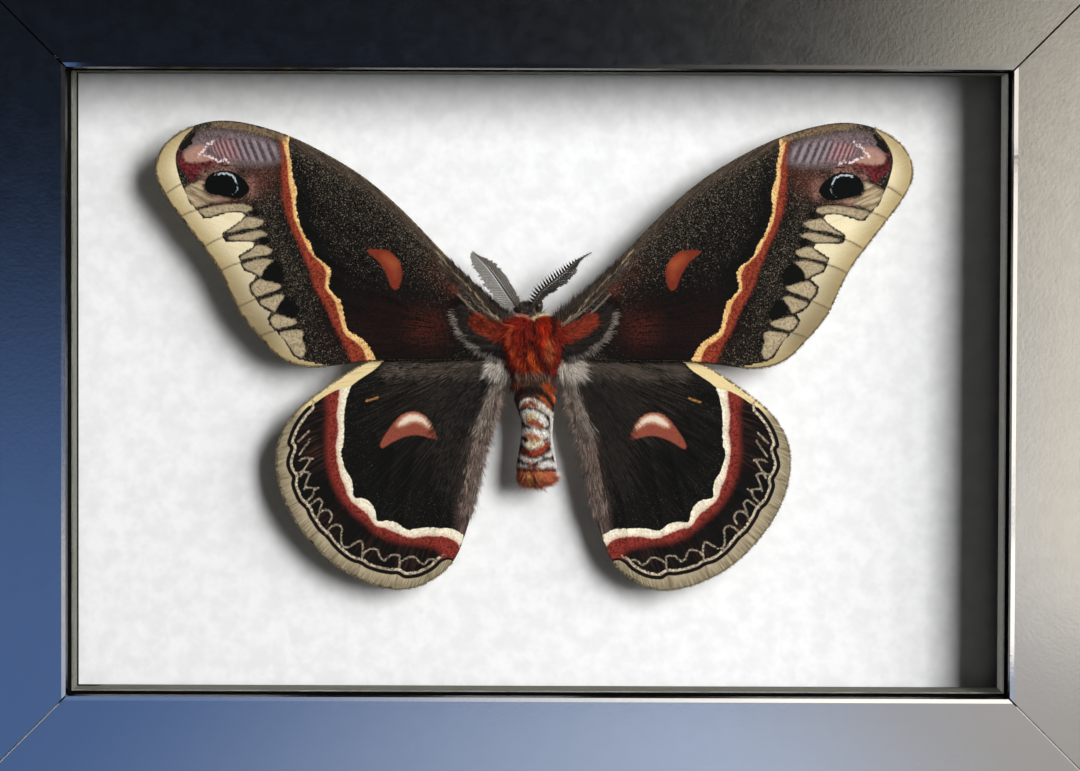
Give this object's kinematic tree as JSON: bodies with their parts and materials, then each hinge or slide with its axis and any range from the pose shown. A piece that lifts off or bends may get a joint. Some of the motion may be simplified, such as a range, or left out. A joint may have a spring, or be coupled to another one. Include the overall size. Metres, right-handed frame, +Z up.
{
  "type": "mounted cecropia moth in a shadow-box case",
  "caption": "Spread male cecropia moth, life size, mounted over white paper in a glazed charcoal shadow-box frame that stands on its lower rail.",
  "frame": {"origin": "middle of the case's footprint, on the surface its lower rail stands on", "axes": "+Z up, +X to the right as the case is looked at, the glass faces -Y"},
  "size_m": [0.2044, 0.032, 0.1485],
  "materials": {
    "frame_lacquer": "satin charcoal lacquer with a fine orange-peel grain",
    "glass": "clear flat glass",
    "spacer_strip": "matt dark grey",
    "black_card": "matt black card",
    "backing_paper": "white mottled paper",
    "hardboard": "brown hardboard",
    "steel": "zinc-plated sheet",
    "cork": "cork",
    "moth_head": "dark brown hair",
    "moth_eye": "dark dried compound eye",
    "moth_antenna": "brown-grey horny feathers",
    "moth_thorax": "rust-red hair with a cream collar",
    "moth_abdomen": "banded white, rust and black hair",
    "moth_forewing": "scaled wing with cream, red and black markings",
    "moth_hindwing": "scaled wing with cream, red and black markings",
    "moth_leg": "rust-red haired legs"
  },
  "bodies": {
    "root": {"abdomen": "moth_abdomen", "abdomen_base": "moth_abdomen", "abdomen_tip": "moth_abdomen", "antenna_left": "moth_antenna", "antenna_right": "moth_antenna", "back_panel": "hardboard", "backing_board": "backing_paper", "cork_pillar": "cork", "eye_left": "moth_eye", "eye_right": "moth_eye", "forewing_left": "moth_forewing", "forewing_right": "moth_forewing", "frame_bottom": "frame_lacquer", "frame_left": "frame_lacquer", "frame_right": "frame_lacquer", "frame_top": "frame_lacquer", "glass_pane": "glass", "hanger_nail_left": "steel", "hanger_nail_right": "steel", "head": "moth_head", "hindwing_left": "moth_hindwing", "hindwing_right": "moth_hindwing", "leg_fore_left": "moth_leg", "leg_fore_right": "moth_leg", "leg_hind_left": "moth_leg", "leg_hind_right": "moth_leg", "leg_middle_left": "moth_leg", "leg_middle_right": "moth_leg", "panel_tab_1": "steel", "panel_tab_10": "steel", "panel_tab_2": "steel", "panel_tab_3": "steel", "panel_tab_4": "steel", "panel_tab_5": "steel", "panel_tab_6": "steel", "panel_tab_7": "steel", "panel_tab_8": "steel", "panel_tab_9": "steel", "sawtooth_hanger": "steel", "shim_strip": "black_card", "spacer_strip": "spacer_strip", "thorax": "moth_thorax"}
  },
  "joints": []
}
